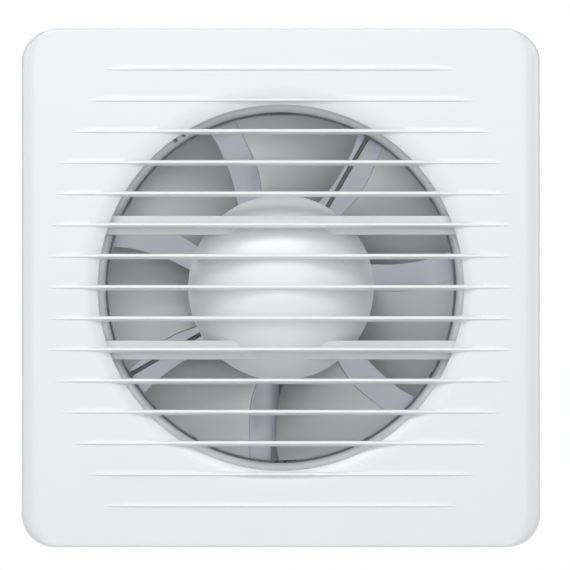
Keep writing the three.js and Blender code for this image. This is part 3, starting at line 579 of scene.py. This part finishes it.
# ------------------------------------------------------------------ impeller
def spline(values, t):
    """Smooth value through equally weighted stations given as (parameter, value)."""
    xs = [v[0] for v in values]
    for i in range(len(xs) - 1):
        if t <= xs[i + 1] or i == len(xs) - 2:
            x0, x1 = xs[i], xs[i + 1]
            y0, y1 = values[i][1], values[i + 1][1]
            m0 = (y1 - y0) / (x1 - x0) if i == 0 else (y1 - values[i - 1][1]) / (x1 - xs[i - 1])
            m1 = (y1 - y0) / (x1 - x0) if i == len(xs) - 2 else (values[i + 2][1] - y0) / (xs[i + 2] - x0)
            h = x1 - x0
            u = (t - x0) / h
            return ((2 * u ** 3 - 3 * u ** 2 + 1) * y0 + (u ** 3 - 2 * u ** 2 + u) * h * m0
                    + (-2 * u ** 3 + 3 * u ** 2) * y1 + (u ** 3 - u ** 2) * h * m1)


def blade(turn):
    nr, nt = 18, 20
    verts, faces = [], []
    for i in range(nr + 1):
        r = 28.6 + (58.7 - 28.6) * i / nr
        lead, trail, y0, y1 = (spline([(s[0], s[j]) for s in BLADE_STATIONS], r) for j in (1, 2, 3, 4))
        loop_front, loop_back = [], []
        for j in range(nt + 1):
            t = 0.5 - 0.5 * math.cos(math.pi * j / nt)
            a = math.radians(lead + (trail - lead) * t + turn)
            y = y0 + (y1 - y0) * (0.6 * t + 0.4 * t * t)
            slope = (y1 - y0) * (0.6 + 0.8 * t) / (r * math.radians(abs(trail - lead)))
            half = 0.85 * (0.62 + 0.38 * smooth(t / 0.12)) if t < 0.5 else 0.85 * (1 - 0.45 * ((t - 0.5) / 0.5) ** 2)
            if j == nt:
                half *= 0.35
            c = 1 / math.hypot(1, slope)
            for side, loop in ((-1, loop_front), (1, loop_back)):
                q = a + side * half * slope * c / r
                loop.append((r * math.cos(q), y + side * half * c, r * math.sin(q)))
        verts += loop_front + loop_back[::-1]
    n = 2 * (nt + 1)
    for i in range(nr):
        for j in range(n):
            a, b = i * n + j, i * n + (j + 1) % n
            faces.append([a, b, b + n, a + n])
    for base, flip in ((0, False), (nr * n, True)):
        for j in range(nt):
            f = [base + j, base + j + 1, base + n - 2 - j, base + n - 1 - j]
            faces.append(f[::-1] if flip else f)
    return new_object("blade", verts, faces)


def make_impeller():
    p = [(0, HUB_Y0)]
    p += [(HUB_R - 4, HUB_Y0)]
    for i in range(1, 8):
        a = math.radians(90 * i / 7)
        p.append((HUB_R - 4 + 4 * math.sin(a), HUB_Y0 + 3.2 * (1 - math.cos(a))))
    p += [(HUB_R, HUB_Y1 - 0.3), (HUB_R - 0.3, HUB_Y1), (HUB_R - HUB_SKIN + 0.2, HUB_Y1), (HUB_R - HUB_SKIN, HUB_Y1 - 0.2), (HUB_R - HUB_SKIN, HUB_Y0 + 3.6),
          (HUB_R - 4, HUB_Y0 + 2), (6.4, HUB_Y0 + 2), (6, HUB_Y0 + 2.6), (5.4, 8.6), (5.0, 9), (0, 9)]
    hub = lathe(p, 140)
    for i in range(7):
        hub = join(hub, blade(360 * i / 7))
    hub = cut(hub, rod(2.58, HUB_Y0 - 2, 12))
    return paint(tidy(named(hub, "impeller_moulding"), 34), BLADE)


impeller = make_impeller()
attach(impeller, "rotating_group")
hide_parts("impeller")


# ------------------------------------------------------------------ motor carrier and lead cover
def make_carrier():
    c = lathe([(0, CUP_Y1), (CUP_R - 1.2, CUP_Y1), (CUP_R - 0.35, CUP_Y1 - 0.35), (CUP_R, CUP_Y1 - 1.2), (CUP_R, CUP_Y0 + 0.2), (CUP_R - 0.2, CUP_Y0),
               (CUP_R - CUP_SKIN + 0.2, CUP_Y0), (CUP_R - CUP_SKIN, CUP_Y0 + 0.2), (CUP_R - CUP_SKIN, CUP_Y1 - CUP_FLOOR - 0.6), (CUP_R - CUP_SKIN - 0.6, CUP_Y1 - CUP_FLOOR), (0, CUP_Y1 - CUP_FLOOR)], 150)
    for i in range(12):
        a, down = 2 * math.pi * i / 12, i == 9
        end = 53.2 if down else 59.1
        pts = [(RIB_T / 2 * s, y) for s, y in ((-1, RIB_Y0 + 0.5), (-0.45, RIB_Y0), (0.45, RIB_Y0), (1, RIB_Y0 + 0.5), (0.85, RIB_Y1), (-0.85, RIB_Y1))]
        # Outline in (tangent, y), extruded along the radius.
        rib = prism([(y, s) for s, y in pts], 30.6, end, "X")
        if not down:
            f = 3.5 if i == 3 else RIB_T / 2 + 0.12
            rib = join(rib, block(58.0, 59.1, RIB_Y0 + 0.6, RIB_Y1, -f, f))
        rib.matrix_world = Matrix.Rotation(-a, 4, "Y")
        bpy.context.view_layer.update()
        c = join(c, rib)
    for x in (-14.2, 14.2):
        c = cut(c, rod(3.1, 50, 56, x, 0))
    c = cut(c, block(-1.3, 1.3, 44, 48.2, -33, -28))
    for k in (-2, -1, 1, 2):
        z = k * 5 + math.copysign(4, k)
        c = cut(c, prism(rounded_rect(7, 1.1, 1.05, 1.05, 6, 0, z), 50, 56))
    return paint(tidy(named(c, "carrier"), 30), CARRIER)


carrier = make_carrier()
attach(carrier, "housing")
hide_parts("motor_carrier")


# ------------------------------------------------------------------ shutter leaves, springs and spindle
def make_leaf(s):
    n = 96
    pts = [(s * max(0.3, LEAF_R * math.cos(-math.pi / 2 + math.pi * i / n)), LEAF_R * math.sin(-math.pi / 2 + math.pi * i / n)) for i in range(n + 1)]
    m = prism(pts, LEAF_Y0, LEAF_Y1)
    for z0, z1 in (((-52.6, -41), (28.8, 40.4)) if s > 0 else ((-40.4, -28.8), (41, 52.6))):
        x0, x1 = sorted((s * 0.3, s * 2.6))
        m = join(m, cyl_z(2.6, z0, z1, 0, HINGE_Y), block(x0, x1, LEAF_Y1 - 0.4, HINGE_Y, z0, z1))
        m = cut(m, cyl_z(SPINDLE_R + 0.1, z0 - 1, z1 + 1, 0, HINGE_Y))
    x0, x1 = sorted((s * 8, s * 50))
    m = join(m, block(x0, x1, LEAF_Y1 - 0.2, LEAF_Y1 + 1.6, -0.6, 0.6))
    x0, x1 = sorted((s * 8, s * 9.2))
    m = join(m, block(x0, x1, LEAF_Y1 - 0.2, LEAF_Y1 + 1.6, -48, 48))
    return paint(tidy(named(m, "leaf_right" if s > 0 else "leaf_left"), 30), LEAF)


def tube(points, r, name, n=10, closed=False):
    """A round wire through 3-D points, with flat ends, built with a frame carried along the line."""
    P = [Vector(p) for p in points]
    rings, normal = [], None
    for i, p in enumerate(P):
        t = (P[min(i + 1, len(P) - 1)] - P[max(i - 1, 0)]).normalized()
        if normal is None:
            normal = t.orthogonal().normalized()
        normal = (normal - t * normal.dot(t)).normalized()
        b = t.cross(normal)
        rings.append([tuple(p + (normal * math.cos(2 * math.pi * k / n) + b * math.sin(2 * math.pi * k / n)) * r) for k in range(n)])
    ob = swept(rings)
    return named(ob, name)


def make_spring(s):
    z0, z1 = (3.2, 8.8) if s > 0 else (-8.8, -3.2)
    turns, steps, rr, wire = 7, 24, 2.08, 0.3
    pts = []
    start = (s * 6.6, HINGE_Y - 2.2, (z0 if s > 0 else z1))
    pts.append(start)
    pts.append((s * 3.4, HINGE_Y - 2.1, (z0 if s > 0 else z1)))
    for i in range(turns * steps + 1):
        a = -math.pi / 2 - s * 2 * math.pi * i / steps
        z = (z0 + (z1 - z0) * i / (turns * steps)) if s > 0 else (z1 + (z0 - z1) * i / (turns * steps))
        pts.append((rr * math.cos(a), HINGE_Y + rr * math.sin(a), z))
    return paint(tidy(tube(pts, wire, "spring_right_wire" if s > 0 else "spring_left_wire", 10), 50), STEEL)


for s, side in ((-1, "left"), (1, "right")):
    leaf = make_leaf(s)
    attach(leaf, side + "_leaf")
    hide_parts("shutter_leaf_" + side)
    spring = make_spring(s)
    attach(spring, side + "_leaf")
    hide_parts("shutter_spring_" + side)

# ------------------------------------------------------------------ CAD nodes that stay, with their own finish
KEEP = {
    "lead_cover": CARRIER, "shaft": STEEL, "impeller_clip": STEEL, "rotor": ROTOR, "thrust_washer": NYLON, "stator_core": LAMINATION,
    "shading_ring_left": COPPER, "shading_ring_right": COPPER, "coil_bobbin": NYLON, "coil_winding": ENAMEL, "thermal_fuse": NYLON,
    "bracket_front": ZINC, "bracket_rear": ZINC, "bearing_front": BRONZE, "bearing_rear": BRONZE, "bearing_retainer_front": STEEL,
    "bearing_retainer_rear": STEEL, "motor_screw_left": PLATED, "motor_screw_right": PLATED, "motor_nut_left": PLATED, "motor_nut_right": PLATED,
    "mount_grommet_left": RUBBER, "mount_grommet_right": RUBBER, "terminal_block": NYLON, "terminal_screw_live": PLATED,
    "terminal_screw_neutral": PLATED, "terminal_cover": CASING, "cable_clamp": NYLON, "clamp_screw_left": PLATED, "clamp_screw_right": PLATED,
    "cable_grommet": RUBBER, "lead_live": BROWN, "lead_neutral": BLUE, "shutter_spindle": STEEL,
}
for name, mat in KEEP.items():
    ob = NODES[name]
    if ob.hide_render:
        continue
    paint(ob, mat)
    for p in ob.data.polygons:
        p.use_smooth = True
    m = ob.modifiers.new("edge_split_angle", "EDGE_SPLIT")
    m.split_angle = math.radians(40)

# ------------------------------------------------------------------ stage, light and camera
floor = prism([(-2500, -2500), (2500, -2500), (2500, 2500), (-2500, 2500)], -150, -146, "Z", "floor")
FLOOR = material("pale_floor", (0.86, 0.86, 0.86), rough=0.7, tint=0.01, bump=0.0)
paint(floor, FLOOR)

world = bpy.data.worlds.new("studio")
SCENE.world = world
world.use_nodes = True
wn = world.node_tree
wn.nodes.clear()
bg = wn.nodes.new("ShaderNodeBackground")
bg.inputs["Color"].default_value = (1, 1, 1, 1)
bg.inputs["Strength"].default_value = 0.36
cam_bg = wn.nodes.new("ShaderNodeBackground")
cam_bg.inputs["Color"].default_value = (1, 1, 1, 1)
cam_bg.inputs["Strength"].default_value = 1.0
lp = wn.nodes.new("ShaderNodeLightPath")
mx = wn.nodes.new("ShaderNodeMixShader")
wo = wn.nodes.new("ShaderNodeOutputWorld")
wn.links.new(lp.outputs["Is Camera Ray"], mx.inputs[0])
wn.links.new(bg.outputs["Background"], mx.inputs[1])
wn.links.new(cam_bg.outputs["Background"], mx.inputs[2])
wn.links.new(mx.outputs["Shader"], wo.inputs["Surface"])


def area(name, loc, size, radiance, size_y=None, target=(0, 0, 0)):
    """A soft box aimed at the part. The power follows from its size and the radiance wanted."""
    d = bpy.data.lights.new(name, "AREA")
    d.shape = "RECTANGLE"
    d.size, d.size_y = size, size_y or size
    d.energy = radiance * math.pi * d.size * d.size_y
    ob = bpy.data.objects.new(name, d)
    SCENE.collection.objects.link(ob)
    ob.location = loc
    ob.rotation_euler = (Vector(target) - Vector(loc)).to_track_quat("-Z", "Y").to_euler()
    ob.visible_camera = False
    return ob


area("key_upper_left", (-0.08, -0.58, 0.50), 0.80, 3.7, 0.28)
area("front_softbox", (-0.12, -1.40, 0.05), 1.7, 1.25, 1.5)
area("rear_softbox", (0.0, 1.5, 0.35), 1.5, 3.7, 0.9)
area("side_left", (-1.5, 0.15, 0.35), 0.9, 1.0)
area("side_right", (1.5, 0.15, 0.35), 0.9, 1.7)

cam_data = bpy.data.cameras.new("camera")
cam = bpy.data.objects.new("camera", cam_data)
SCENE.collection.objects.link(cam)
DIST = 8.0
cam.location = (0.0, -DIST + FACE_Y * MM, 0.0)
cam.rotation_euler = (math.radians(90), 0, 0)
cam_data.sensor_width = 36.0
cam_data.lens = 36.0 * DIST / (570 * 176.0 / 519 * MM)
cam_data.clip_start, cam_data.clip_end = 0.1, 60
# The fan's centre lies at (280.9, 287.7) of 570 x 570.
cam_data.shift_x = (285.0 - 280.9) / 570
cam_data.shift_y = (287.7 - 285.0) / 570
SCENE.camera = cam
SCENE.view_settings.view_transform = "Standard"
SCENE.view_settings.look = "None"
